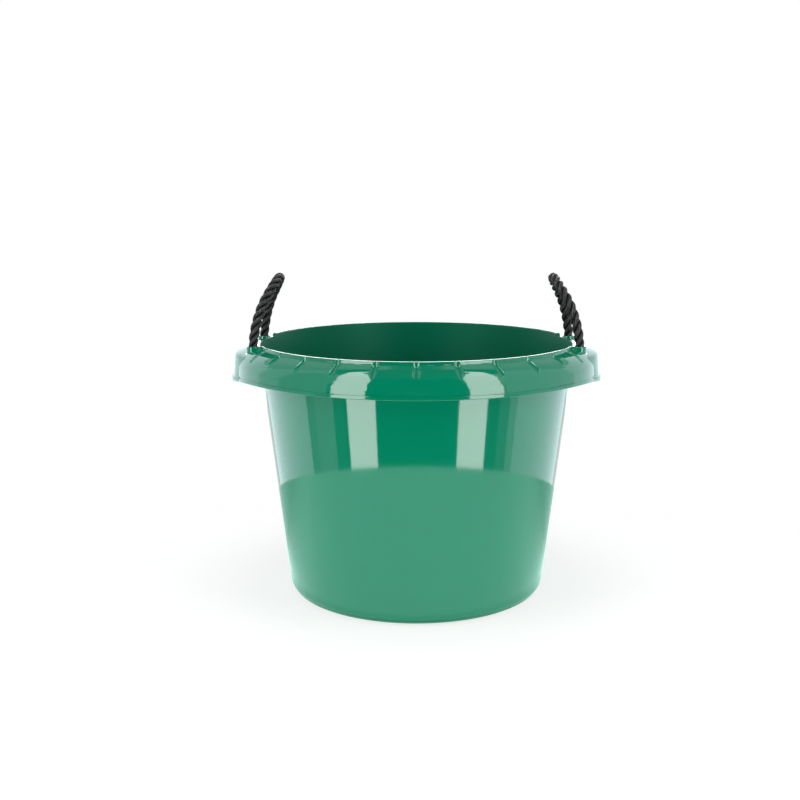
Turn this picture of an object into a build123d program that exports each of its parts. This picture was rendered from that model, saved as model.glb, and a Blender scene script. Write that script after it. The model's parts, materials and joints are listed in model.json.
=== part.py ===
from build123d import *
import math
import os

# Stable water bucket: one moulded tub and two knotted rope handles.
# Millimetres and degrees. Z is up, the origin is at the middle of the foot ring, on the ground,
# and the rope handles stand at -X (left) and +X (right).

# Tub wall and floor
HEIGHT = 370.0  # from the ground to the crest of the lip
BASE_RADIUS = 185.0  # outer face of the wall, carried down to the ground
WALL_DRAFT = 6.9
WALL = 3.6
FLOOR = 4.5
BASE_CORNER = 19.0
FOOT_RING = 16.0  # width of the flat ring that the tub stands on
FOOT_RECESS = 4.0
FOOT_EDGE = 1.5

# Lip and shoulder of the rim
LIP_WIDTH = 4.6
LIP_RISE = 4.2
LIP_ROUND_SHARE = 0.47  # rounding of the lip's edges, as a share of its lesser side
LIP_FOOT_FILLET = 0.8
SHOULDER_SLOPE = 25.0  # where the shoulder leaves the lip
SHOULDER_CORNER = 30.0  # the round that carries the shoulder over into the skirt
RIM_WALL = 4.0
RIM_ROOT_FILLET = 3.0

# Skirt of the rim, with its rolled lower edge
SKIRT_OVERHANG = 28.0  # outer face at the lower edge, outwards from the lip
SKIRT_DROP = 45.0  # from the crest of the lip to the lower edge
SKIRT_DRAFT = 4.5
EDGE_HEIGHT = 5.0
EDGE_PROUD = 1.1
EDGE_FILLET = 1.0
EDGE_LAP = 0.6  # how far the rolled edge hangs below the skirt wall behind it
DIP_DEPTH = 11.0  # how far the lower edge sweeps down at each handle
DIP_REACH = 180.0
DIP_SEAT = 60.0

# Scoops round the shoulder
SCOOPS_PER_TURN = 28
SCOOP_CLEAR_ANGLE = 20.0  # no scoop within this angle of a handle's middle
SCOOP_RADIUS = 6.4
SCOOP_DEPTH = 2.6
SCOOP_LENGTH = 36.0
SCOOP_EASE = 120.0  # how much gentler a scoop bends than the shoulder, so that it runs out
SCOOP_BITE = 1.2  # how far a scoop bites into the lip
SCOOP_EDGE = 1.0

# Hollow pads that bulge from the skirt at the handles
PAD_PROUD = 6.75
PAD_ROUND = 150.0  # radius of a pad's outer face, seen from above
PAD_TOP_SLOPE = 18.0
PAD_TOP_START = 5.0  # where a pad's top leaves the shoulder, outwards from the lip
PAD_TOP_SINK = 0.6  # how far a pad's top starts below the shoulder's slope
PAD_ROOF = 3.2  # wall under a pad's top
PAD_CORNER = 8.0
PAD_EDGE_HEIGHT = 8.0
PAD_EDGE_LAP = 0.5  # how far a pad's rolled edge hangs below the skirt's
PAD_EDGE_PROUD = 3.2
PAD_EDGE_FILLET = 3.0

# Seats of the rope handles: the lip is cut down and each rope has a raised eye
SEAT_HALF_WIDTH = 74.0
SEAT_DROP = 4.0  # below the crest of the lip
SEAT_END_SLOPE = 50.0
EYE_SETBACK = 6.5  # middle of an eye, outwards from the lip
EYE_Y = 62.0  # middle of an eye from the middle of its handle
EYE_WALL = 2.3
EYE_TOP_DROP = 2.0  # below the crest of the lip
EYE_HEIGHT = 13.5
EYE_FILLET = 1.0
EYE_FLANGE = 4.0  # seat for the knot under an eye, outwards from the hole
EYE_FLANGE_HEIGHT = 3.0

# Rope handles
ROPE_DIAMETER = 13.0
ROPE_HOLE_CLEARANCE = 0.5
SWING_CLEARANCE = 0.3
KNOT_RADIUS = 12.5
KNOT_HEIGHT = 24.0
KNOT_ROUND = 9.0
KNOT_OFFSET = 5.6  # outwards from the eye, clear of the tub's wall
KNOT_SHIFT = 9.0  # from the eye towards the handle's middle, clear of the pad's wall
KNOT_SEAT_GAP = 0.2
TAIL_LENGTH = 11.0
TAIL_ROUND = 2.0

# Half of a handle's route: lean in over the tub, draw towards the handle's middle, rise above the hinge line
ROUTE = [
    (0.0, 0.0, 0.0),
    (4.5, 3.6, 25.7),
    (13.0, 9.9, 50.9),
    (21.5, 20.2, 66.8),
    (28.0, 35.2, 78.5),
    (31.5, 53.2, 84.7),
]
ARC_SHARE = 0.45  # share of the shorter run that an arc takes up

# Sizes that follow from the driving dimensions
WALL_LEAN = math.tan(math.radians(WALL_DRAFT))
WALL_ACROSS = WALL / math.cos(math.radians(WALL_DRAFT))
SHOULDER_FALL = math.tan(math.radians(SHOULDER_SLOPE))
SKIRT_LEAN = math.tan(math.radians(SKIRT_DRAFT))
PAD_FALL = math.tan(math.radians(PAD_TOP_SLOPE))
RIM_WALL_DOWN = RIM_WALL / math.cos(math.radians(SHOULDER_SLOPE))
SKIRT_BOTTOM = HEIGHT - SKIRT_DROP
SKIRT_LOWEST = SKIRT_BOTTOM - DIP_DEPTH
LIP_FOOT = HEIGHT - LIP_RISE
FLOOR_TOP = FOOT_RECESS + FLOOR
ROPE_RADIUS = ROPE_DIAMETER / 2
HOLE_RADIUS = ROPE_RADIUS + ROPE_HOLE_CLEARANCE
EYE_RADIUS = HOLE_RADIUS + EYE_WALL
EYE_TOP = HEIGHT - EYE_TOP_DROP
EYE_BOTTOM = EYE_TOP - EYE_HEIGHT
HINGE_Z = EYE_TOP + ROPE_RADIUS + SWING_CLEARANCE
SIDES = {"left": -1, "right": 1}
ENDS = {"front": -1, "rear": 1}


def wall_outside(height):
    """Radius of the tub's outer wall at a height."""
    return BASE_RADIUS + WALL_LEAN * height


def wall_inside(height):
    """Radius of the tub's inner wall at a height."""
    return wall_outside(height) - WALL_ACROSS


# Radii of the rim, from the wall outwards
LIP_INSIDE = wall_inside(HEIGHT)
LIP_OUTSIDE = LIP_INSIDE + LIP_WIDTH
PAD_INSIDE = LIP_OUTSIDE + PAD_TOP_START
SKIRT_RADIUS = LIP_OUTSIDE + SKIRT_OVERHANG
PAD_RADIUS = SKIRT_RADIUS + PAD_PROUD
PAD_AXIS = PAD_RADIUS - PAD_ROUND
EYE_X = math.sqrt((LIP_OUTSIDE + EYE_SETBACK) ** 2 - EYE_Y**2)

# Aids for cutting tools
FAR = 2 * PAD_RADIUS  # past the outside of the part
HOLLOW_OVERLAP = 1.0  # how far a pad's hollow and trim reach in past the pad


def skirt_outside(height):
    """Radius of the skirt's outer face at a height."""
    return SKIRT_RADIUS - SKIRT_LEAN * (height - SKIRT_BOTTOM)


def shoulder_height(radius):
    """Height of the shoulder's upper face at a radius."""
    return LIP_FOOT - SHOULDER_FALL * (radius - LIP_OUTSIDE)


def crossing(drop, inset):
    """Where the shoulder, lowered by drop, meets the skirt, moved in by inset."""
    top = LIP_FOOT - drop
    gap = SKIRT_RADIUS - inset - SKIRT_LEAN * (top - SKIRT_BOTTOM) - LIP_OUTSIDE
    run = gap / (1 - SKIRT_LEAN * SHOULDER_FALL)
    return (LIP_OUTSIDE + run, top - SHOULDER_FALL * run)


def radius_at(point):
    """Distance of a point from the tub's axis."""
    return math.hypot(point.X, point.Y)


def turned(points, radii):
    """Solid of revolution about Z of a closed (radius, height) outline with rounded corners."""
    outline = FilletPolyline(*points, radius=radii, close=True)
    return revolve(Plane.XZ * make_face(outline.edges()), Axis.Z)


def ring(inside, outside, bottom, top):
    """Plain ring about Z."""
    return turned([(inside, bottom), (outside, bottom), (outside, top), (inside, top)], [0, 0, 0, 0])


def edge_line(lift):
    """Lower edge of the skirt seen along X, lifted: level, then swept down to each handle."""
    level = SKIRT_BOTTOM + lift
    turn = level - DIP_DEPTH * (DIP_REACH - DIP_SEAT) / DIP_REACH
    fall = TangentArc((-DIP_REACH, level), (-DIP_SEAT, turn), tangent=(1, 0))
    seat = TangentArc((-DIP_SEAT, turn), (DIP_SEAT, turn), tangent=fall % 1)
    climb = TangentArc((DIP_SEAT, turn), (DIP_REACH, level), tangent=seat % 1)
    start = Line((-FAR, level), (-DIP_REACH, level))
    end = Line((DIP_REACH, level), (FAR, level))
    return [start, fall, seat, climb, end]


def edge_band(low, high):
    """Everything between two lifts of the skirt's lower edge, right across the tub along X."""
    ends = [Line((y, SKIRT_BOTTOM + low), (y, SKIRT_BOTTOM + high)) for y in (-FAR, FAR)]
    face = make_face(edge_line(low) + edge_line(high) + ends)
    return extrude(Plane.YZ * face, FAR, both=True)


def tub_section():
    """The tub turned whole: foot, wall, lip, shoulder and a skirt that is still too long."""
    corner = crossing(0, 0)
    inner_corner = crossing(RIM_WALL_DOWN, RIM_WALL)
    root_height = LIP_FOOT - RIM_WALL_DOWN
    foot_outside = BASE_RADIUS - BASE_CORNER * math.tan(math.radians(90 - WALL_DRAFT) / 2)
    foot_inside = foot_outside - FOOT_RING
    lip_round = LIP_ROUND_SHARE * min(LIP_WIDTH, LIP_RISE)
    inner_corner_radius = max(SHOULDER_CORNER - RIM_WALL - RIM_ROOT_FILLET, 0)
    outline = [
        ((0, FOOT_RECESS), 0),
        ((foot_inside - FOOT_RECESS, FOOT_RECESS), FOOT_EDGE),
        ((foot_inside, 0), FOOT_EDGE),
        ((BASE_RADIUS, 0), BASE_CORNER),
        ((wall_outside(root_height), root_height), RIM_ROOT_FILLET),
        (inner_corner, inner_corner_radius),
        ((skirt_outside(SKIRT_LOWEST) - RIM_WALL, SKIRT_LOWEST), 0),
        ((skirt_outside(SKIRT_LOWEST), SKIRT_LOWEST), 0),
        (corner, SHOULDER_CORNER),
        ((LIP_OUTSIDE, LIP_FOOT), LIP_FOOT_FILLET),
        ((LIP_OUTSIDE, HEIGHT), lip_round),
        ((LIP_INSIDE, HEIGHT), lip_round),
        ((wall_inside(FLOOR_TOP), FLOOR_TOP), BASE_CORNER - WALL),
        ((0, FLOOR_TOP), 0),
    ]
    return turned([point for point, radius in outline], [radius for point, radius in outline])


def rolled_edge(middle, outside, lap, height, proud, rounding):
    """Rolled lower edge on a skirt face that is turned about middle, rooted in the middle of its wall."""
    low = SKIRT_LOWEST - height
    band = Pos(middle, 0, 0) * ring(outside - RIM_WALL / 2, outside + proud, low, SKIRT_BOTTOM + 2 * height)
    edge = band & edge_band(-lap, height)
    centre = Vector(middle, 0, 0)
    outer = edge.edges().filter_by(lambda line: radius_at(line @ 0.5 - centre) > outside + proud / 2)
    return fillet(outer.filter_by(Axis.Z, reverse=True), rounding)


def pad_top(reach):
    """Height of a pad's upper face at a distance from the pad's own axis."""
    start = PAD_INSIDE - PAD_AXIS
    return shoulder_height(PAD_INSIDE) - PAD_TOP_SINK - PAD_FALL * (reach - start)


def pad_body(inset, roof, inside):
    """Both pads as solid blocks outwards from inside, or their hollows where inset and roof are the walls."""
    low = SKIRT_LOWEST - PAD_EDGE_HEIGHT
    low_reach = PAD_ROUND - inset - SKIRT_LEAN * (low - SKIRT_BOTTOM)
    top_reach = PAD_ROUND - inset - SKIRT_LEAN * (pad_top(PAD_ROUND) - SKIRT_BOTTOM)
    points = [
        (0, low),
        (low_reach, low),
        (top_reach, pad_top(top_reach) - roof),
        (0, pad_top(0) - roof),
    ]
    body = turned(points, [0, 0, max(PAD_CORNER - inset, 0), 0])
    outwards = ring(inside, FAR, low, HEIGHT)
    return [Pos(side * PAD_AXIS, 0, 0) * body & outwards for side in SIDES.values()]


def pad_edges():
    """Rolled lower edges of both pads, outwards from the middle of the skirt's wall."""
    outwards = ring(SKIRT_RADIUS - RIM_WALL / 2, FAR, SKIRT_LOWEST - PAD_EDGE_HEIGHT, HEIGHT)
    middles = [side * PAD_AXIS for side in SIDES.values()]
    sizes = (PAD_ROUND, PAD_EDGE_LAP, PAD_EDGE_HEIGHT, PAD_EDGE_PROUD, PAD_EDGE_FILLET)
    return [rolled_edge(middle, *sizes) & outwards for middle in middles]


def add_skirt_and_pads(tub):
    """Trim the skirt to its swept edge, add the rolled edge and the two hollow pads."""
    hollow_inside = PAD_INSIDE - HOLLOW_OVERLAP
    low = SKIRT_LOWEST - 2 * PAD_EDGE_HEIGHT
    trim = ring(hollow_inside, FAR, low, SKIRT_BOTTOM + EDGE_HEIGHT) & edge_band(low - SKIRT_BOTTOM, EDGE_LAP)
    tub = tub - trim + rolled_edge(0, SKIRT_RADIUS, 0, EDGE_HEIGHT, EDGE_PROUD, EDGE_FILLET)
    pads = [pad - trim for pad in pad_body(0, 0, PAD_INSIDE)]
    return tub + pads + pad_edges() - pad_body(RIM_WALL, PAD_ROOF, hollow_inside)


def scoop_tool():
    """Round-nosed cutter that bends down over the shoulder at the front and runs out of it."""
    slope = math.radians(SHOULDER_SLOPE)
    along = Vector(0, -math.cos(slope), -math.sin(slope))
    away = Vector(0, -math.sin(slope), math.cos(slope))
    lift = SCOOP_RADIUS - SCOOP_DEPTH
    reach = math.sqrt(SCOOP_RADIUS**2 - lift**2) - SCOOP_BITE
    nose = Vector(0, -LIP_OUTSIDE, LIP_FOOT) + away * lift + along * reach
    bend = SHOULDER_CORNER + SCOOP_EASE
    hub = Axis(origin=nose - away * bend, direction=(1, 0, 0))
    section = Plane(origin=nose, x_dir=(1, 0, 0), z_dir=along) * Circle(SCOOP_RADIUS)
    shank = revolve(section, hub, revolution_arc=math.degrees(SCOOP_LENGTH / bend))
    return shank + Pos(nose) * Sphere(SCOOP_RADIUS)


def cut_scoops(tub):
    """Scoops with soft edges at an even pitch from the front, left out at the handles."""
    tool = scoop_tool()
    pitch = 360 / SCOOPS_PER_TURN
    turns = [number * pitch for number in range(SCOOPS_PER_TURN)]
    clear = math.sin(math.radians(90 - SCOOP_CLEAR_ANGLE))
    tools = [Rot(0, 0, turn) * tool for turn in turns if abs(math.sin(math.radians(turn))) < clear]
    tub = tub - tools
    return fillet(tub.edges().filter_by(GeomType.BSPLINE), SCOOP_EDGE)


def handle_seat(side):
    """Cutter that takes the lip down over one handle's width."""
    bottom = HEIGHT - SEAT_DROP
    top = HEIGHT + SEAT_DROP
    spread = (top - bottom) / math.tan(math.radians(SEAT_END_SLOPE))
    half_top = SEAT_HALF_WIDTH + spread
    corners = [
        (-SEAT_HALF_WIDTH, bottom),
        (SEAT_HALF_WIDTH, bottom),
        (half_top, top),
        (-half_top, top),
    ]
    face = Plane.YZ * make_face(Polyline(*corners, close=True).edges())
    return Pos(side * SKIRT_RADIUS, 0, 0) * extrude(face, SKIRT_RADIUS / 2, both=True)


def upright(radius, bottom, top, x, y):
    """Upright cylinder between two heights."""
    return Pos(x, y, bottom) * Cylinder(radius, top - bottom, align=(Align.CENTER, Align.CENTER, Align.MIN))


def rope_eye(x, y):
    """Raised eye with a flat flange under it for the knot to seat on."""
    eye = upright(EYE_RADIUS, EYE_BOTTOM, EYE_TOP, x, y)
    flange = upright(HOLE_RADIUS + EYE_FLANGE, EYE_BOTTOM, EYE_BOTTOM + EYE_FLANGE_HEIGHT, x, y)
    return fillet(eye.edges().sort_by(Axis.Z)[-1], EYE_FILLET) + flange


def rope_hole(x, y):
    """Cutter for a rope hole with a flared mouth."""
    bore = upright(HOLE_RADIUS, EYE_BOTTOM - EYE_HEIGHT, EYE_TOP, x, y)
    mouth = Pos(x, y, EYE_TOP) * Cone(
        HOLE_RADIUS,
        HOLE_RADIUS + EYE_FILLET,
        EYE_FILLET,
        align=(Align.CENTER, Align.CENTER, Align.MAX),
    )
    return bore + mouth


def eye_places():
    """Every rope eye, by handle side and end."""
    return [(side, end) for side in SIDES for end in ENDS]


def make_tub():
    """The one-piece moulded tub."""
    tub = cut_scoops(tub_section())
    tub = add_skirt_and_pads(tub)
    tub = tub - [handle_seat(side) for side in SIDES.values()]
    places = [(SIDES[side] * EYE_X, ENDS[end] * EYE_Y) for side, end in eye_places()]
    tub = tub + [rope_eye(x, y) for x, y in places]
    return tub - [rope_hole(x, y) for x, y in places]


def make_knot(side, end):
    """Rope end below one eye: the rope in the hole, the stopper knot and the tail."""
    eye_x = SIDES[side] * EYE_X
    knot_x = SIDES[side] * (EYE_X + KNOT_OFFSET)
    eye_y = ENDS[end] * EYE_Y
    knot_y = ENDS[end] * (EYE_Y - KNOT_SHIFT)
    knot_top = EYE_BOTTOM - KNOT_SEAT_GAP
    knot_bottom = knot_top - KNOT_HEIGHT
    knot = upright(KNOT_RADIUS, knot_bottom, knot_top, knot_x, knot_y)
    knot = fillet(knot.edges().filter_by(GeomType.CIRCLE), KNOT_ROUND)
    tail = upright(ROPE_RADIUS, knot_bottom - TAIL_LENGTH, knot_bottom + KNOT_ROUND, knot_x, knot_y)
    tail = fillet(tail.edges().sort_by(Axis.Z)[0], TAIL_ROUND)
    neck = upright(ROPE_RADIUS, knot_bottom + KNOT_ROUND, EYE_TOP, eye_x, eye_y)
    return knot + tail + neck


def route_points(side):
    """Whole route of one handle, front eye to rear eye, starting and ending on the hinge line."""
    half = [(SIDES[side] * (EYE_X - lean), draw - EYE_Y, HINGE_Z + rise) for lean, draw, rise in ROUTE]
    return half + [(x, -y, z) for x, y, z in reversed(half)]


def corner_radii(points):
    """Largest arc that each corner of a route leaves room for."""
    vectors = [Vector(*point) for point in points]
    runs = [after - before for before, after in zip(vectors, vectors[1:])]
    radii = []
    for before, after in zip(runs, runs[1:]):
        shorter = min(before.length, after.length)
        half_turn = math.radians(before.get_angle(after)) / 2
        radii.append(ARC_SHARE * shorter / math.tan(half_turn))
    return radii


def make_loop(side):
    """Standing loop of one rope handle, with a round end on the hinge line at each eye."""
    points = route_points(side)
    radii = corner_radii(points)
    path = FilletPolyline(*points, radius=radii)
    start = Plane(origin=path @ 0, z_dir=path % 0)
    tube = sweep(start * Circle(ROPE_RADIUS), path=path)
    section_volume = math.pi * ROPE_RADIUS**2 * path.length
    print(side, "loop radii", [round(radius, 1) for radius in radii])
    print(side, "loop length", round(path.length, 1), "volume ratio", round(tube.volume / section_volume, 4))
    cap = Sphere(ROPE_RADIUS, -90, 0, align=(Align.CENTER, Align.CENTER, Align.MAX))
    inward = {0: path % 0, 1: -(path % 1)}
    return tube + [Plane(origin=path @ end, z_dir=way) * cap for end, way in inward.items()]


def main():
    """Build every piece and write it out under its own name."""
    parts = {"tub": make_tub()}
    for side in SIDES:
        parts[f"{side}_rope_loop"] = make_loop(side)
    for side, end in eye_places():
        parts[f"{side}_{end}_knot"] = make_knot(side, end)
    os.makedirs("parts", exist_ok=True)
    for name, shape in parts.items():
        export_step(shape, f"parts/{name}.step")


main()
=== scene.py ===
import json
import math

import bpy
import numpy as np
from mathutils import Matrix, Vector


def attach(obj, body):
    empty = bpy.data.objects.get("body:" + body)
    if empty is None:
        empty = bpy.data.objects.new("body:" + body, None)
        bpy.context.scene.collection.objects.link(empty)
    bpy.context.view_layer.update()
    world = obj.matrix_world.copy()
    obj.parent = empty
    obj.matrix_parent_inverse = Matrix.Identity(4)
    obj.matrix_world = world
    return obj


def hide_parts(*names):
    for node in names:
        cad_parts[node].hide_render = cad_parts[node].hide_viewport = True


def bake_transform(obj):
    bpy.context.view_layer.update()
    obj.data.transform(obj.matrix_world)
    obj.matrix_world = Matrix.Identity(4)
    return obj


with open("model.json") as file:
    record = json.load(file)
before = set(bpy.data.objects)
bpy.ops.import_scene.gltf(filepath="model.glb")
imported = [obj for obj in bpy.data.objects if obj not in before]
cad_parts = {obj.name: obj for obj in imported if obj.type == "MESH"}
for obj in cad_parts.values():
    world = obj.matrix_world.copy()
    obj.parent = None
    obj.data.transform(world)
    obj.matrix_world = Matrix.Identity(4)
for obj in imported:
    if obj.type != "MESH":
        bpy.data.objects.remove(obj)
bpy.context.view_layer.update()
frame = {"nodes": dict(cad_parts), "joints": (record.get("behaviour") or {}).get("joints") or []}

# Stable water bucket: a glossy moulded tub with two handles of black three-strand rope.
# Metres. The tub keeps its solid, with a finish of its own. The ropes and their knots are laid here.

SIDES = {"left": -1, "right": 1}
ENDS = {"front": -1, "rear": 1}
HINGES = {joint["child"]: Vector(joint["pos_m"]) for joint in frame["joints"]}

# Rope handles. The route's control points are the solids' own, from the front eye to the handle's middle:
# lean in over the tub, draw towards the handle's middle, rise above the hinge line
ROPE_DIAMETER = 0.013  # where the eyes hold the rope tight
ROPE_SWELL = 1.1  # free rope, as a share of the rope in its eyes
LAY_LENGTH = 0.037  # along the rope, for one turn of its strands
EYE_Y = 0.062
EYE_TOP = 0.368
EYE_BOTTOM = 0.3545
ROUTE = [
    (0.0, 0.0, 0.0),
    (0.0045, 0.0036, 0.0257),
    (0.0130, 0.0099, 0.0509),
    (0.0215, 0.0202, 0.0668),
    (0.0280, 0.0352, 0.0785),
    (0.0315, 0.0532, 0.0847),
]
SWELL_TOP = 0.385  # above this height the rope is free
ROUTE_ORDER = 3  # the line touches the middle of each run between two control points
LINE_STEPS = 24  # points of a route's line between two of its control points
KNOT_STEPS = 9  # the same in a knot, whose control points stand closer

# Stopper knots under the eyes: two wraps of rope pulled thin round its own standing part
KNOT_OFFSET = 0.0056  # outwards from the eye
KNOT_SHIFT = 0.009  # from the eye towards the handle's middle
KNOT_ROPE = 0.65  # thickness of the rope in a knot, as a share of the rope in its eyes
NECK_ROPE = 0.96  # the same inside the eye, just within the handle's own rope
NECK_RISE = 0.007  # how far a rope end reaches up into its eye
KNOT_WRAP_RADIUS = 0.0083
KNOT_CORE = 0.0025  # the standing part and the tail, each from the knot's axis
KNOT_TURNS = 2
TURN_POINTS = 12
WRAP_LOW = 0.3350
WRAP_HIGH = 0.3494
ENTRY_SHARE = 0.6  # of the way from the eye to the knot's axis, where the rope passes the top wrap
ENTRY_RISE = 0.001  # above the top wrap
CORE_TOP = 0.7  # share of the wraps' height at which the standing part reaches the knot's axis
CORE_RISE = 0.003  # from the lowest wrap up to the standing part's turn
TAIL_TOP = 0.8  # share of the wraps' height at which the tail turns down
TAIL_END = 0.3193

# Strands and yarns of the rope
STRANDS = 3
STRAND_RADIUS = ROPE_DIAMETER / 2 / (1 + 2 / math.sqrt(3))
STRAND_OFFSET = ROPE_DIAMETER / 2 - STRAND_RADIUS
YARNS = 11
YARN_RELIEF = 0.00016
YARN_LAY = 0.032
YARN_SIDES = 4
STRAND_SIDES = YARN_SIDES * YARNS

# Rope's finish
ROPE_DARK = (0.003, 0.003, 0.0033, 1)
# lightest yarn grey, shown on the strands' ridges: partly the yarns' own grey and partly a painted highlight
ROPE_GREY_AND_HIGHLIGHT = (0.15, 0.15, 0.155, 1)
YARN_SHADES = (0.4, 0.7)  # noise that gives the darkest and the lightest yarn
YARN_GRAIN = (2.0 * YARNS, 90.0, 1.0)  # per turn across and per metre along
FIBRE_GRAIN = (8.0 * YARNS, 160.0, 1.0)
RIDGE_REACH = (-0.1, 0.95)  # cosine of the turn from a strand's outermost line: in its groove, where the painted shade is full, and on its ridge, where it ends
GROOVE_PAINTED_SHADE = 0.03  # painted shade in the groove: share of a yarn's light grey that is left there
ROPE_ROUGHNESS = (0.45, 0.7)
ROPE_SPECULAR = 0.1
FIBRE_RELIEF = 0.00012
FIBRE_STRENGTH = 0.6

# Tub's finish
GREEN_DEEP = (0.0002, 0.215, 0.110, 1)
GREEN_PALE = (0.0004, 0.242, 0.128, 1)
INSIDE_PAINTED_SHADE = (0.72, 0.72, 0.72, 1)  # painted shade inside: the green inside, as a share of the green outside
INSIDE_SPECULAR = (0.08, 0.08, 0.08, 1)  # what the inside mirrors, as a share of what the outside does
OUTSIDE_ROUGHNESS = (0.035, 0.08)
INSIDE_ROUGHNESS = (0.34, 0.42)
PLASTIC_IOR = 1.54
FLOW_STRETCH = (1.0, 1.0, 0.25)  # flow marks are four times as long upwards
SKIN_RELIEF = 0.00008
SKIN_STRENGTH = 0.12

# Middle of the tub's wall: its radius on the ground and its growth with height
WALL_MIDDLE = 0.1832
WALL_LEAN = 0.121

# Camera, fitted to the photograph
CAMERA_PLACE = (0.0, -1.70825, 0.585606)
CAMERA_PITCH = math.radians(10.14)
CAMERA_LENS = 53.156
CAMERA_SENSOR = 36
CAMERA_SHIFT = -0.0205

# Floor and world
WHITE = (1.0, 1.0, 1.0, 1.0)
WORLD_LIGHT = 0.2  # strength of the white world as a light
FLOOR_SIZE = 12.0
FLOOR_GREY = (0.8, 0.8, 0.8, 1)
FLOOR_LIFT = 0.5  # the floor's own light
FLOOR_WHITE = 0.5  # share of plain white in what the camera sees of the floor at the tub
FLOOR_FADE = (0.25, 0.9)  # from the tub's axis: where that share starts to grow and where all is white

# Bright round of floor that the gloss mirrors
GLOW_RADIUS = 0.64
GLOW_CORNERS = 96
GLOW_PLACE = (0, -0.022, 0.0002)
GLOW_TINT = (1.0, 1.55, 1.4, 1.0)
GLOW_FRONT = 1.25
GLOW_BACK = 0.6
GLOW_FADE = (-0.06, 0.17)  # Y at which the front's strength ends and the back's starts
FOOT_SHADE = 0.6  # share of the strength that is left at the tub's foot
FOOT_FADE = (0.19, 0.22)  # from the tub's axis: the foot's shade fades out between these

# Lamps, which the gloss doesn't mirror: place, size and watts
LAMPS = {
    "top_lamp": ((0, -0.15, 2.2), 1.0, 15),
    "left_lamp": ((-1.7, -0.8, 1.2), 1.2, 11),
    "right_lamp": ((1.7, -0.8, 1.2), 1.2, 11),
    "front_lamp": ((0, -2.3, 0.3), 0.7, 11),
}
LAMP_TARGET = (0, 0, 0.2)

# Cards that are seen only in the gloss, on a sphere round the front rim.
# Angles are in degrees: elevations, and turns from the front that grow to the right
GLOSS_CENTRE = np.array([0.0, -0.2, 0.36])
GLOSS_DISTANCE = 3.0
PATCH_STEPS = 36
CARD_GAP = 0.2  # from the strip lights back to the room's cards
COOL_WHITE = (1.0, 1.1, 1.2, 1.0)
FRONT_HALF = 57  # half the turn that the dark front takes up
CEILING = 58  # elevation where the dark ceiling starts

# Right strip light, which the left one mirrors: elevation and the turns of its two edges there
STRIP_LIGHT = [
    (-31, 32, 55),
    (20, 33, 55),
    (38, 35, 60),
    (46, 37, 66),
    (54, 42, 74),
    (62, 49, 87),
    (71, 78, 140),
]
STRIP_TURN = 0.7  # both strip lights stand this far round to the right
STRIP_STRENGTH = 7.4

# Other cards: two elevations, two turns and the strength
BACK_LIGHT = ((6, 40), (165, 195), 8.0)
DARK_CARDS = {
    "dark_front": ((-75, CEILING), (-FRONT_HALF, FRONT_HALF), 0.005),
    "dark_ceiling": ((CEILING, 90), (-180, 180), 0.08),
}
ROOM_CARDS = {
    "left_side": ((-10, CEILING), (-95, -FRONT_HALF), 0.66),
    "left_back": ((-10, CEILING), (-115, -95), 1.0),
    "right_side": ((-10, CEILING), (FRONT_HALF, 115), 1.1),
    "back": ((-12, 26), (115, 245), 1.4),
    "high_back": ((26, CEILING), (115, 245), 0.65),
    "low_left": ((-45, -12), (-150, -91), 1.8),
    "low_left_dip": ((-45, -10), (-91, -83), 0.55),
    "low_left_middle": ((-45, -10), (-83, -66), 0.8),
    "low_left_shade": ((-45, -10), (-66, -FRONT_HALF), 0.13),
    "low_right": ((-45, -12), (82, 150), 1.8),
    "low_right_middle": ((-45, -10), (75, 82), 1.0),
    "low_right_dip": ((-45, -10), (66, 75), 0.35),
    "low_right_shade": ((-45, -10), (FRONT_HALF, 66), 0.08),
}


def new_object(name, data):
    """An object in the scene for its mesh, lamp or camera."""
    piece = bpy.data.objects.new(name, data)
    bpy.context.scene.collection.objects.link(piece)
    return piece


def new_material(name):
    """A node material with its tree and shader."""
    material = bpy.data.materials.new(name)
    material.use_nodes = True
    tree = material.node_tree
    return material, tree, tree.nodes["Principled BSDF"]


def bare_material(name):
    """A node material with an empty tree."""
    material = bpy.data.materials.new(name)
    material.use_nodes = True
    material.node_tree.nodes.clear()
    return material, material.node_tree


def set_inputs(tree, node, inputs):
    """Give a node its inputs, each a plain value or the output of another node."""
    for key, value in inputs.items():
        if isinstance(value, bpy.types.NodeSocket):
            tree.links.new(value, node.inputs[key])
        else:
            node.inputs[key].default_value = value


def add_node(tree, kind, inputs=None, **settings):
    """One node with its settings and inputs."""
    node = tree.nodes.new(kind)
    for key, value in settings.items():
        setattr(node, key, value)
    set_inputs(tree, node, inputs or {})
    return node


def calculate(tree, operation, *inputs):
    """Result of one calculation."""
    node = add_node(tree, "ShaderNodeMath", dict(enumerate(inputs)), operation=operation)
    return node.outputs["Value"]


def length(tree, vector):
    """Length of a vector."""
    return add_node(tree, "ShaderNodeVectorMath", {0: vector}, operation="LENGTH").outputs["Value"]


def axis_parts(tree, vector):
    """X, Y and Z of a vector, by name."""
    return add_node(tree, "ShaderNodeSeparateXYZ", {"Vector": vector}).outputs


def spread(tree, source, result, reach=(0.0, 1.0), **settings):
    """A value mapped from its reach onto a range of results, which it doesn't leave."""
    ends = {"From Min": reach[0], "From Max": reach[1], "To Min": result[0], "To Max": result[1]}
    return add_node(tree, "ShaderNodeMapRange", {"Value": source, **ends}, **settings).outputs["Result"]


def mix(tree, share, first, second, data_type="RGBA", **settings):
    """Blend from a first colour or number to a second."""
    ends = {"Factor": share, "A": first, "B": second}
    return add_node(tree, "ShaderNodeMix", ends, data_type=data_type, **settings).outputs["Result"]


def scaled(tree, place, scale):
    """A place with its axes scaled."""
    return add_node(tree, "ShaderNodeMapping", {"Vector": place, "Scale": scale}).outputs["Vector"]


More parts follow.
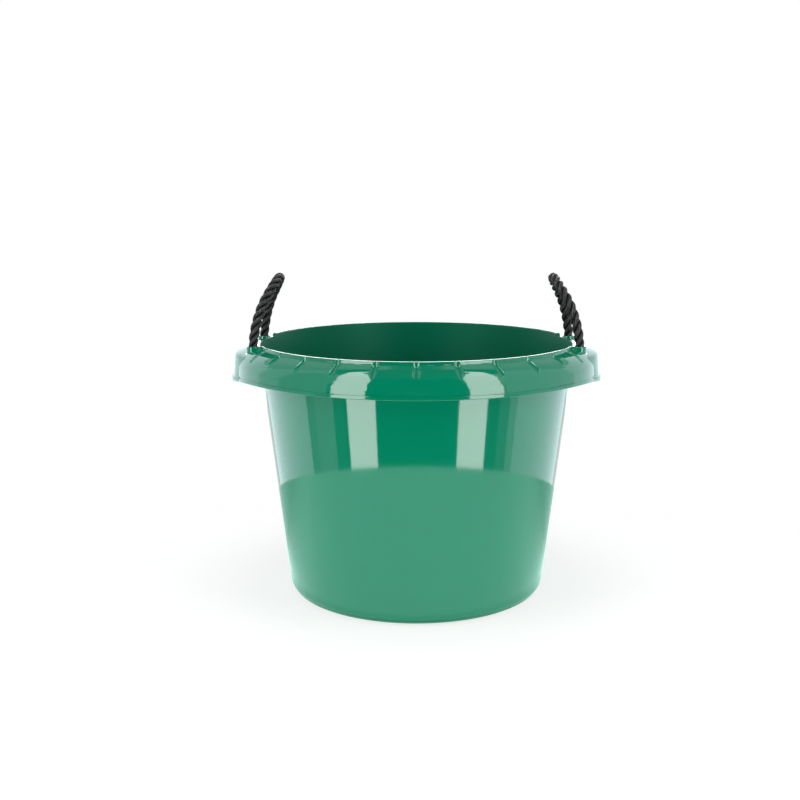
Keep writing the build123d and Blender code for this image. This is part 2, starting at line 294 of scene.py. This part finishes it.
def noise(tree, place, **inputs):
    """Noise from 0 to 1 at a place."""
    return add_node(tree, "ShaderNodeTexNoise", {"Vector": place, **inputs}).outputs["Fac"]


def relief(tree, height, strength, distance):
    """Normals of a fine relief."""
    inputs = {"Height": height, "Strength": strength, "Distance": distance}
    return add_node(tree, "ShaderNodeBump", inputs).outputs["Normal"]


def emission(tree, strength, colour=WHITE):
    """Plain light."""
    return add_node(tree, "ShaderNodeEmission", {"Strength": strength, "Color": colour}).outputs["Emission"]


def mix_shaders(tree, share, first, second):
    """Blend from a first shader to a second."""
    return add_node(tree, "ShaderNodeMixShader", {"Fac": share, 1: first, 2: second}).outputs["Shader"]


def set_surface(tree, shader):
    """Make a shader the surface of a bare material."""
    add_node(tree, "ShaderNodeOutputMaterial", {"Surface": shader})


def inside_share(tree, place):
    """Value that is 1 on the tub's inner face and 0 on its outer faces."""
    flat = add_node(tree, "ShaderNodeVectorMath", {0: place, 1: (1, 1, 0)}, operation="MULTIPLY")
    radius = length(tree, flat.outputs["Vector"])
    middle = calculate(tree, "MULTIPLY_ADD", axis_parts(tree, place)["Z"], WALL_LEAN, WALL_MIDDLE)
    return calculate(tree, "LESS_THAN", radius, middle)


def tub_plastic():
    """Green moulded polyethylene, glossy outside and satin inside, with faint flow marks, a fine skin and
    painted shade that darkens the green inside.
    """
    material, tree, shader = new_material("tub_plastic")
    place = add_node(tree, "ShaderNodeTexCoord").outputs["Object"]
    inside = inside_share(tree, place)
    cloud = noise(tree, place, Scale=7.0, Detail=3.0)
    green = mix(tree, cloud, GREEN_DEEP, GREEN_PALE)
    flow = noise(tree, scaled(tree, place, FLOW_STRETCH), Scale=38.0, Detail=4.0)
    outside_finish = spread(tree, flow, OUTSIDE_ROUGHNESS)
    inside_finish = spread(tree, flow, INSIDE_ROUGHNESS)
    skin = noise(tree, place, Scale=420.0, Detail=2.0)
    inputs = {
        # painted shade: the green on the inner face is darkened
        "Base Color": mix(tree, inside, green, INSIDE_PAINTED_SHADE, blend_type="MULTIPLY"),
        "Roughness": mix(tree, inside, outside_finish, inside_finish, data_type="FLOAT"),
        "Specular Tint": mix(tree, inside, WHITE, INSIDE_SPECULAR),
        "Normal": relief(tree, skin, SKIN_STRENGTH, SKIN_RELIEF),
        "IOR": PLASTIC_IOR,
    }
    set_inputs(tree, shader, inputs)
    return material


def painted_groove_shade(tree, yarn_map):
    """Value that is 1 along the outside of a strand and falls off towards the grooves beside it: painted
    shade in the grooves.
    """
    parts = axis_parts(tree, yarn_map)
    around = calculate(tree, "MULTIPLY_ADD", parts["Y"], -1 / YARN_LAY, parts["X"])
    outward = calculate(tree, "COSINE", calculate(tree, "MULTIPLY", around, 2 * math.pi))
    return spread(tree, outward, (GROOVE_PAINTED_SHADE, 1.0), RIDGE_REACH)


def rope_fibre():
    """Black polypropylene rope: yarns of slightly different greys, with fine fibres along them, painted
    shade in the grooves between strands and a painted highlight on their ridges.
    """
    material, tree, shader = new_material("rope_fibre")
    yarn_map = add_node(tree, "ShaderNodeUVMap", uv_map="yarn").outputs["UV"]
    yarn = noise(tree, scaled(tree, yarn_map, YARN_GRAIN), Scale=1.0, Detail=2.0, Roughness=0.7)
    light = spread(tree, yarn, (0.0, 1.0), YARN_SHADES)
    # painted shade: each yarn's grey darkens towards the grooves between the strands
    share = calculate(tree, "MULTIPLY", light, painted_groove_shade(tree, yarn_map))
    fibre = noise(tree, scaled(tree, yarn_map, FIBRE_GRAIN), Scale=1.0, Detail=3.0, Roughness=0.6)
    inputs = {
        "Base Color": mix(tree, share, ROPE_DARK, ROPE_GREY_AND_HIGHLIGHT),
        "Roughness": spread(tree, fibre, ROPE_ROUGHNESS),
        "Normal": relief(tree, fibre, FIBRE_STRENGTH, FIBRE_RELIEF),
        "Specular IOR Level": ROPE_SPECULAR,
    }
    set_inputs(tree, shader, inputs)
    return material


def smooth_line(points, steps):
    """Points along the smooth line that a route's control points draw, with steps between two of them."""
    curve = bpy.data.curves.new("route", "CURVE")
    curve.dimensions = "3D"
    curve.resolution_u = steps
    spline = curve.splines.new("NURBS")
    spline.points.add(len(points) - 1)
    for control, point in zip(spline.points, points):
        control.co = (*point, 1)
    spline.order_u = ROUTE_ORDER
    spline.use_endpoint_u = True
    holder = bpy.data.objects.new("route", curve)
    mesh = bpy.data.meshes.new_from_object(holder)
    line = np.array([vertex.co for vertex in mesh.vertices])
    bpy.data.objects.remove(holder)
    bpy.data.curves.remove(curve)
    bpy.data.meshes.remove(mesh)
    return line


def directions(line):
    """Unit direction of a line at each of its points."""
    steps = np.gradient(line, axis=0)
    return steps / np.linalg.norm(steps, axis=1, keepdims=True)


def distances(line):
    """Distance of each point from the start, along the line."""
    steps = np.linalg.norm(np.diff(line, axis=0), axis=1)
    return np.concatenate([[0.0], np.cumsum(steps)])


def side_vectors(line):
    """Two unit vectors across a line at each point, carried along without twist."""
    heading = directions(line)
    across = np.cross(heading[0], (0.0, 1.0, 0.0))
    firsts = []
    for way in heading:
        across = across - way * np.dot(across, way)
        across = across / np.linalg.norm(across)
        firsts.append(across)
    firsts = np.array(firsts)
    return firsts, np.cross(heading, firsts)


def strand_tube(line, thickness, number):
    """Rings of points and the distance along one strand of a right-hand laid rope."""
    first, second = side_vectors(line)
    along = distances(line)
    turns = np.concatenate([[0.0], np.cumsum(np.diff(along) / (LAY_LENGTH * thickness[1:]))])
    turn = 2 * math.pi * (turns + number / STRANDS)
    outward = first * np.cos(turn)[:, None] + second * np.sin(turn)[:, None]
    middle = line + STRAND_OFFSET * thickness[:, None] * outward
    heading = directions(middle)
    outward = outward - heading * np.sum(outward * heading, axis=1)[:, None]
    outward = outward / np.linalg.norm(outward, axis=1)[:, None]
    beside = np.cross(heading, outward)
    strand_along = distances(middle)
    corner = 2 * math.pi * np.arange(STRAND_SIDES) / STRAND_SIDES
    yarn = YARNS * (corner[None, :] + 2 * math.pi * strand_along[:, None] / YARN_LAY)
    radius = (STRAND_RADIUS + YARN_RELIEF * (np.abs(np.cos(yarn / 2)) - 1)) * thickness[:, None]
    rings = (
        middle[:, None, :]
        + radius[:, :, None] * np.cos(corner)[None, :, None] * outward[:, None, :]
        + radius[:, :, None] * np.sin(corner)[None, :, None] * beside[:, None, :]
    )
    return rings, strand_along


def rope_mesh(name, line, thickness):
    """A three-strand rope along a line, with a yarn map: turns across, metres along."""
    points, faces, map_corners = [], [], []
    for number in range(STRANDS):
        rings, along = strand_tube(line, thickness, number)
        start = len(points)
        points.extend(rings.reshape(-1, 3).tolist())
        for ring in range(len(rings) - 1):
            low = start + ring * STRAND_SIDES
            high = low + STRAND_SIDES
            below, above = along[ring], along[ring + 1]
            low_turn, high_turn = below / YARN_LAY, above / YARN_LAY
            for side in range(STRAND_SIDES):
                after = (side + 1) % STRAND_SIDES
                faces.append((low + side, low + after, high + after, high + side))
                left = side / STRAND_SIDES
                right = (side + 1) / STRAND_SIDES
                map_corners.extend([(left + low_turn, below), (right + low_turn, below)])
                map_corners.extend([(right + high_turn, above), (left + high_turn, above)])
        last = start + (len(rings) - 1) * STRAND_SIDES
        faces.append(tuple(range(start + STRAND_SIDES - 1, start - 1, -1)))
        faces.append(tuple(range(last, last + STRAND_SIDES)))
        map_corners.extend([(0.0, along[0])] * STRAND_SIDES + [(0.0, along[-1])] * STRAND_SIDES)
    mesh = bpy.data.meshes.new(name)
    mesh.from_pydata(points, [], faces)
    yarn = mesh.uv_layers.new(name="yarn")
    for corner, place in zip(yarn.data, map_corners):
        corner.uv = place
    mesh.polygons.foreach_set("use_smooth", [True] * len(faces))
    mesh.update()
    return mesh


def handle_points(side):
    """Control points of one handle's rope, from inside the front eye to inside the rear eye."""
    hinge = HINGES[f"{side}_handle"]
    inward = -SIDES[side]
    stub = [(hinge.x, -EYE_Y, EYE_BOTTOM), (hinge.x, -EYE_Y, (EYE_BOTTOM + hinge.z) / 2)]
    half = stub + [(hinge.x + inward * lean, draw - EYE_Y, hinge.z + rise) for lean, draw, rise in ROUTE]
    return half + [(x, -y, z) for x, y, z in reversed(half)]


def wrap_height(share):
    """Height at a share of the way up a knot's wraps."""
    return WRAP_LOW + share * (WRAP_HIGH - WRAP_LOW)


def knot_points(side, end):
    """Control points of one rope end: down the eye, round its own standing part and out as a tail."""
    eye = np.array([HINGES[f"{side}_handle"].x, ENDS[end] * EYE_Y])
    axis = eye + (SIDES[side] * KNOT_OFFSET, -ENDS[end] * KNOT_SHIFT)
    entry = (1 - ENTRY_SHARE) * eye + ENTRY_SHARE * axis
    start = math.atan2(-ENDS[end], SIDES[side])
    core = KNOT_CORE * np.array([math.cos(start), math.sin(start)])
    points = [(eye, EYE_BOTTOM + NECK_RISE), (eye, EYE_BOTTOM), (entry, WRAP_HIGH + ENTRY_RISE)]
    points += [(axis + core, wrap_height(CORE_TOP)), (axis + core, WRAP_LOW + CORE_RISE)]
    for number in range(KNOT_TURNS * TURN_POINTS + 1):
        angle = start + 2 * math.pi * number / TURN_POINTS
        arm = KNOT_WRAP_RADIUS * np.array([math.cos(angle), math.sin(angle)])
        points.append((axis + arm, wrap_height(number / (KNOT_TURNS * TURN_POINTS))))
    points += [(axis - core, height) for height in (wrap_height(TAIL_TOP), WRAP_LOW, TAIL_END)]
    return [(*place, height) for place, height in points]


def make_knot(side, end, material):
    """One rope end with its stopper knot, fixed to the tub."""
    line = smooth_line(knot_points(side, end), KNOT_STEPS)
    eased = np.clip((line[:, 2] - WRAP_HIGH) / (EYE_BOTTOM - WRAP_HIGH), 0, 1)
    eased[np.argmin(eased > 0):] = 0  # once the rope is down in the knot, it stays thin
    thickness = KNOT_ROPE + (NECK_ROPE - KNOT_ROPE) * eased
    name = f"{side}_{end}_rope_end"
    knot = new_object(name, rope_mesh(name, line, thickness))
    knot.data.materials.append(material)
    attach(knot, "tub")
    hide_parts(f"{side}_{end}_knot")
    return knot


def make_handle(side, material):
    """One rope handle, held by the tub in its eyes, with its two knotted ends."""
    line = smooth_line(handle_points(side), LINE_STEPS)
    freed = np.clip((line[:, 2] - EYE_TOP) / (SWELL_TOP - EYE_TOP), 0, 1)
    thickness = 1 + (ROPE_SWELL - 1) * freed
    rope = new_object(f"{side}_rope", rope_mesh(f"{side}_rope", line, thickness))
    rope.data.materials.append(material)
    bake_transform(rope)
    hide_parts(f"{side}_rope_loop")
    [make_knot(side, end, material) for end in ENDS]


def finish_tub():
    """The tub's own solid, with its finish."""
    tub = frame["nodes"]["tub"]
    tub.data.materials.clear()
    tub.data.materials.append(tub_plastic())


def stage_piece(name, points, faces, material):
    """A piece of the stage from its points and faces."""
    mesh = bpy.data.meshes.new(name)
    mesh.from_pydata(points, [], faces)
    piece = new_object(name, mesh)
    piece.data.materials.append(material)
    return piece


def seen_in_reflections_only(piece):
    """Keep a stage piece out of everything but glossy reflections."""
    piece.visible_camera = False
    piece.visible_diffuse = False
    piece.visible_shadow = False
    piece.visible_transmission = False
    piece.visible_volume_scatter = False


def floor_white():
    """White for the camera that keeps the shadow near the tub, over plain grey, and clear from below."""
    material, tree = bare_material("floor")
    place = add_node(tree, "ShaderNodeTexCoord").outputs["Object"]
    away = length(tree, place)
    whiter = spread(tree, away, (FLOOR_WHITE, 1.0), FLOOR_FADE, interpolation_type="SMOOTHSTEP")
    camera = add_node(tree, "ShaderNodeLightPath").outputs["Is Camera Ray"]
    share = calculate(tree, "MULTIPLY", camera, whiter)
    grey = add_node(tree, "ShaderNodeBsdfDiffuse", {"Color": FLOOR_GREY}).outputs["BSDF"]
    lift = emission(tree, FLOOR_LIFT)
    lifted = add_node(tree, "ShaderNodeAddShader", {0: grey, 1: lift}).outputs["Shader"]
    above = mix_shaders(tree, share, lifted, emission(tree, 1.0))
    below = add_node(tree, "ShaderNodeBsdfTransparent").outputs["BSDF"]
    from_below = add_node(tree, "ShaderNodeNewGeometry").outputs["Backfacing"]
    set_surface(tree, mix_shaders(tree, from_below, above, below))
    return material


def floor_glow():
    """Light of the floor in the gloss: bright in front, dimmer behind the tub and at its foot."""
    material, tree = bare_material("floor_glow")
    place = add_node(tree, "ShaderNodeNewGeometry").outputs["Position"]
    fade = spread(tree, axis_parts(tree, place)["Y"], (GLOW_FRONT, GLOW_BACK), GLOW_FADE)
    foot = spread(tree, length(tree, place), (FOOT_SHADE, 1.0), FOOT_FADE)
    set_surface(tree, emission(tree, calculate(tree, "MULTIPLY", fade, foot), GLOW_TINT))
    return material


def make_floor():
    """The floor, and the bright round on it that the gloss mirrors instead."""
    half = FLOOR_SIZE / 2
    corners = [(-half, -half, 0), (half, -half, 0), (half, half, 0), (-half, half, 0)]
    floor = stage_piece("floor", corners, [(0, 1, 2, 3)], floor_white())
    floor.visible_glossy = False
    bpy.ops.mesh.primitive_circle_add(
        vertices=GLOW_CORNERS,
        radius=GLOW_RADIUS,
        fill_type="NGON",
        location=GLOW_PLACE,
    )
    bright = bpy.context.object
    bright.name = "floor_glow"
    bright.data.materials.append(floor_glow())
    seen_in_reflections_only(bright)


def make_world():
    """White for the camera and in gloss, and dimmer as a light."""
    world = bpy.data.worlds.new("studio")
    bpy.context.scene.world = world
    world.use_nodes = True
    tree = world.node_tree
    rays = add_node(tree, "ShaderNodeLightPath").outputs
    seen = calculate(tree, "MAXIMUM", rays["Is Camera Ray"], rays["Is Glossy Ray"])
    strength = spread(tree, seen, (WORLD_LIGHT, 1.0))
    set_inputs(tree, tree.nodes["Background"], {"Color": WHITE, "Strength": strength})


def make_lamp(name, place, size, power):
    """Square soft lamp aimed at the tub, which neither the camera nor the gloss sees."""
    data = bpy.data.lights.new(name, "AREA")
    data.shape = "SQUARE"
    data.size = size
    data.energy = power
    lamp = new_object(name, data)
    lamp.location = place
    lamp.rotation_euler = (Vector(LAMP_TARGET) - Vector(place)).to_track_quat("-Z", "Y").to_euler()
    lamp.visible_glossy = False
    lamp.visible_camera = False


def gloss_patch(name, outline, strength, colour=WHITE, behind=0.0):
    """Glowing part of a sphere round the front rim, given by its edges at each elevation."""
    levels, starts, ends = np.transpose(outline)
    rise = np.linspace(levels[0], levels[-1], PATCH_STEPS + 1)
    share = np.linspace(0, 1, PATCH_STEPS + 1)
    first = np.interp(rise, levels, starts)[:, None]
    last = np.interp(rise, levels, ends)[:, None]
    turn = np.radians(first + (last - first) * share)
    tilt = np.radians(rise)[:, None] * np.ones_like(share)
    ways = np.stack([np.cos(tilt) * np.sin(turn), -np.cos(tilt) * np.cos(turn), np.sin(tilt)], axis=-1)
    points = GLOSS_CENTRE + (GLOSS_DISTANCE + behind) * ways
    row = PATCH_STEPS + 1
    corners = [level * row + step for level in range(PATCH_STEPS) for step in range(PATCH_STEPS)]
    faces = [(corner, corner + 1, corner + row + 1, corner + row) for corner in corners]
    material, tree = bare_material(name)
    set_surface(tree, emission(tree, strength, colour))
    seen_in_reflections_only(stage_piece(name, points.reshape(-1, 3).tolist(), faces, material))


def gloss_card(name, rises, turns, strength, **settings):
    """Glowing patch between two elevations and two turns."""
    gloss_patch(name, [(rise, *turns) for rise in rises], strength, **settings)


def make_lights():
    """Soft lamps above, beside and in front, and the bright and dark cards that the gloss mirrors."""
    for name, lamp in LAMPS.items():
        make_lamp(name, *lamp)
    levels, firsts, lasts = np.transpose(STRIP_LIGHT)
    for side, sign in SIDES.items():
        edges = np.stack([levels, sign * firsts + STRIP_TURN, sign * lasts + STRIP_TURN], axis=1)
        gloss_patch(f"{side}_strip", edges, STRIP_STRENGTH)
    gloss_card("back_light", *BACK_LIGHT)
    for name, card in DARK_CARDS.items():
        gloss_card(name, *card, behind=CARD_GAP)
    for name, card in ROOM_CARDS.items():
        gloss_card(name, *card, colour=COOL_WHITE, behind=CARD_GAP)


def make_camera():
    """Camera at the photograph's viewing angle."""
    data = bpy.data.cameras.new("camera")
    data.lens = CAMERA_LENS
    data.sensor_width = CAMERA_SENSOR
    data.shift_x = CAMERA_SHIFT
    camera = new_object("camera", data)
    camera.location = CAMERA_PLACE
    camera.rotation_euler = (math.pi / 2 - CAMERA_PITCH, 0, 0)
    bpy.context.scene.camera = camera


make_camera()
finish_tub()
fibre = rope_fibre()
for side in SIDES:
    make_handle(side, fibre)
make_floor()
make_world()
make_lights()
bpy.context.scene.view_settings.view_transform = "Standard"
